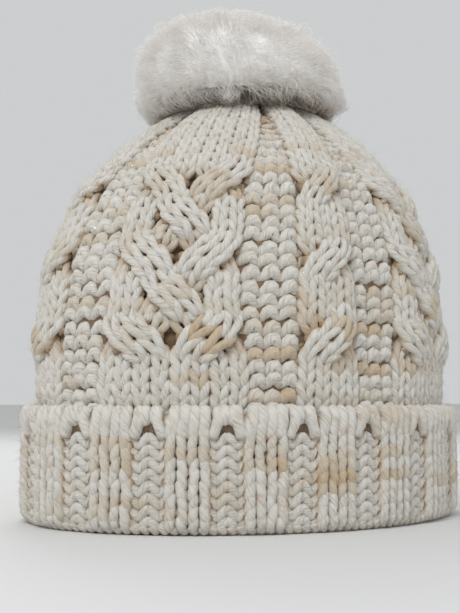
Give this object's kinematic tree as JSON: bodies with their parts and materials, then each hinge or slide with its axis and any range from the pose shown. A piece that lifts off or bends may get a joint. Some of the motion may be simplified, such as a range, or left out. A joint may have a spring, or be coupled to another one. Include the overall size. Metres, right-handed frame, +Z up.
{
  "type": "knit beanie",
  "caption": "Chunky cable-knit beanie with braid and rope panels, a folded rib cuff that turns down, and a fur pom-pom on a press stud.",
  "frame": {"origin": "on the resting plane under the middle of the folded edge", "axes": "+Z up through the crown and the pom-pom, X along the head's length, -Y the side shown in the picture"},
  "size_m": [0.235, 0.184, 0.2655],
  "materials": {
    "knit": "chunky marled wool-blend yarn, cream with tan flecks",
    "gather_yarn": "the same yarn, drawn tight",
    "fur": "long-pile faux fur, off-white",
    "filling": "polyester wadding",
    "thread": "waxed thread",
    "snap_metal": "nickel plated"
  },
  "bodies": {
    "hat": {"rope_panel_front": "knit", "rope_panel_right": "knit", "rope_panel_back": "knit", "rope_panel_left": "knit", "braid_panel_front_right": "knit", "braid_panel_back_right": "knit", "braid_panel_back_left": "knit", "braid_panel_front_left": "knit", "purl_panel_1": "knit", "purl_panel_2": "knit", "purl_panel_3": "knit", "purl_panel_4": "knit", "purl_panel_5": "knit", "purl_panel_6": "knit", "purl_panel_7": "knit", "purl_panel_8": "knit"},
    "cuff_rib_01": {"cuff_rib_01": "knit"},
    "cuff_rib_02": {"cuff_rib_02": "knit"},
    "cuff_rib_03": {"cuff_rib_03": "knit"},
    "cuff_rib_04": {"cuff_rib_04": "knit"},
    "cuff_rib_05": {"cuff_rib_05": "knit"},
    "cuff_rib_06": {"cuff_rib_06": "knit"},
    "cuff_rib_07": {"cuff_rib_07": "knit"},
    "cuff_rib_08": {"cuff_rib_08": "knit"},
    "cuff_rib_09": {"cuff_rib_09": "knit"},
    "cuff_rib_10": {"cuff_rib_10": "knit"},
    "cuff_rib_11": {"cuff_rib_11": "knit"},
    "cuff_rib_12": {"cuff_rib_12": "knit"},
    "cuff_rib_13": {"cuff_rib_13": "knit"},
    "cuff_rib_14": {"cuff_rib_14": "knit"},
    "cuff_rib_15": {"cuff_rib_15": "knit"},
    "cuff_rib_16": {"cuff_rib_16": "knit"},
    "cuff_rib_17": {"cuff_rib_17": "knit"},
    "cuff_rib_18": {"cuff_rib_18": "knit"},
    "gather": {"crown_gather": "gather_yarn"},
    "stud": {"snap_stud": "snap_metal", "snap_washer": "snap_metal"},
    "catch": {"snap_spring": "snap_metal"},
    "pompom": {"snap_socket": "snap_metal", "pompom_drawstring": "thread", "pompom_filling": "filling", "pompom_fur": "fur"}
  },
  "joints": [
    {"name": "cuff_turn_01", "type": "hinge", "parent": "hat", "child": "cuff_rib_01", "pos_m": [0, -0.0846, 0], "axis": [1, 0, 0], "range_deg": [0, 179]},
    {"name": "cuff_turn_02", "type": "hinge", "parent": "hat", "child": "cuff_rib_02", "pos_m": [0.03326, -0.0807, 0], "axis": [0.9723, 0.2336, 0], "range_deg": [0, 179]},
    {"name": "cuff_turn_03", "type": "hinge", "parent": "hat", "child": "cuff_rib_03", "pos_m": [0.06468, -0.06868, 0], "axis": [0.8762, 0.482, 0], "range_deg": [0, 179]},
    {"name": "cuff_turn_04", "type": "hinge", "parent": "hat", "child": "cuff_rib_04", "pos_m": [0.09144, -0.04767, 0], "axis": [0.6647, 0.7471, 0], "range_deg": [0, 179]},
    {"name": "cuff_turn_05", "type": "hinge", "parent": "hat", "child": "cuff_rib_05", "pos_m": [0.10823, -0.01745, 0], "axis": [0.2645, 0.9644, 0], "range_deg": [0, 179]},
    {"name": "cuff_turn_06", "type": "hinge", "parent": "hat", "child": "cuff_rib_06", "pos_m": [0.10823, 0.01745, 0], "axis": [-0.2645, 0.9644, 0], "range_deg": [0, 179]},
    {"name": "cuff_turn_07", "type": "hinge", "parent": "hat", "child": "cuff_rib_07", "pos_m": [0.09144, 0.04767, 0], "axis": [-0.6647, 0.7471, 0], "range_deg": [0, 179]},
    {"name": "cuff_turn_08", "type": "hinge", "parent": "hat", "child": "cuff_rib_08", "pos_m": [0.06468, 0.06868, 0], "axis": [-0.8762, 0.482, 0], "range_deg": [0, 179]},
    {"name": "cuff_turn_09", "type": "hinge", "parent": "hat", "child": "cuff_rib_09", "pos_m": [0.03326, 0.0807, 0], "axis": [-0.9723, 0.2336, 0], "range_deg": [0, 179]},
    {"name": "cuff_turn_10", "type": "hinge", "parent": "hat", "child": "cuff_rib_10", "pos_m": [0, 0.0846, 0], "axis": [-1, 0, 0], "range_deg": [0, 179]},
    {"name": "cuff_turn_11", "type": "hinge", "parent": "hat", "child": "cuff_rib_11", "pos_m": [-0.03326, 0.0807, 0], "axis": [-0.9723, -0.2336, 0], "range_deg": [0, 179]},
    {"name": "cuff_turn_12", "type": "hinge", "parent": "hat", "child": "cuff_rib_12", "pos_m": [-0.06468, 0.06868, 0], "axis": [-0.8762, -0.482, 0], "range_deg": [0, 179]},
    {"name": "cuff_turn_13", "type": "hinge", "parent": "hat", "child": "cuff_rib_13", "pos_m": [-0.09144, 0.04767, 0], "axis": [-0.6647, -0.7471, 0], "range_deg": [0, 179]},
    {"name": "cuff_turn_14", "type": "hinge", "parent": "hat", "child": "cuff_rib_14", "pos_m": [-0.10823, 0.01745, 0], "axis": [-0.2645, -0.9644, 0], "range_deg": [0, 179]},
    {"name": "cuff_turn_15", "type": "hinge", "parent": "hat", "child": "cuff_rib_15", "pos_m": [-0.10823, -0.01745, 0], "axis": [0.2645, -0.9644, 0], "range_deg": [0, 179]},
    {"name": "cuff_turn_16", "type": "hinge", "parent": "hat", "child": "cuff_rib_16", "pos_m": [-0.09144, -0.04767, 0], "axis": [0.6647, -0.7471, 0], "range_deg": [0, 179]},
    {"name": "cuff_turn_17", "type": "hinge", "parent": "hat", "child": "cuff_rib_17", "pos_m": [-0.06468, -0.06868, 0], "axis": [0.8762, -0.482, 0], "range_deg": [0, 179]},
    {"name": "cuff_turn_18", "type": "hinge", "parent": "hat", "child": "cuff_rib_18", "pos_m": [-0.03326, -0.0807, 0], "axis": [0.9723, -0.2336, 0], "range_deg": [0, 179]},
    {"name": "pompom_flop_side", "type": "hinge", "parent": "hat", "child": "gather", "pos_m": [0, 0, 0.21335], "axis": [0, 1, 0], "range_deg": [-8, 8], "stiffness_Nm_per_rad": 0.12},
    {"name": "pompom_flop_fore_aft", "type": "hinge", "parent": "gather", "child": "stud", "pos_m": [0, 0, 0.21335], "axis": [1, 0, 0], "range_deg": [-8, 8], "stiffness_Nm_per_rad": 0.12},
    {"name": "pompom_snap_off", "type": "slide", "parent": "stud", "child": "catch", "axis": [0, 0, 1], "range_m": [0, 0.012]},
    {"name": "pompom_turn", "type": "hinge", "parent": "catch", "child": "pompom", "pos_m": [0, 0, 0.21335], "axis": [0, 0, 1], "continuous": true}
  ],
  "couplings": [
    {"joint": "cuff_turn_02", "follows": "cuff_turn_01", "ratio": 1},
    {"joint": "cuff_turn_03", "follows": "cuff_turn_01", "ratio": 1},
    {"joint": "cuff_turn_04", "follows": "cuff_turn_01", "ratio": 1},
    {"joint": "cuff_turn_05", "follows": "cuff_turn_01", "ratio": 1},
    {"joint": "cuff_turn_06", "follows": "cuff_turn_01", "ratio": 1},
    {"joint": "cuff_turn_07", "follows": "cuff_turn_01", "ratio": 1},
    {"joint": "cuff_turn_08", "follows": "cuff_turn_01", "ratio": 1},
    {"joint": "cuff_turn_09", "follows": "cuff_turn_01", "ratio": 1},
    {"joint": "cuff_turn_10", "follows": "cuff_turn_01", "ratio": 1},
    {"joint": "cuff_turn_11", "follows": "cuff_turn_01", "ratio": 1},
    {"joint": "cuff_turn_12", "follows": "cuff_turn_01", "ratio": 1},
    {"joint": "cuff_turn_13", "follows": "cuff_turn_01", "ratio": 1},
    {"joint": "cuff_turn_14", "follows": "cuff_turn_01", "ratio": 1},
    {"joint": "cuff_turn_15", "follows": "cuff_turn_01", "ratio": 1},
    {"joint": "cuff_turn_16", "follows": "cuff_turn_01", "ratio": 1},
    {"joint": "cuff_turn_17", "follows": "cuff_turn_01", "ratio": 1},
    {"joint": "cuff_turn_18", "follows": "cuff_turn_01", "ratio": 1}
  ]
}
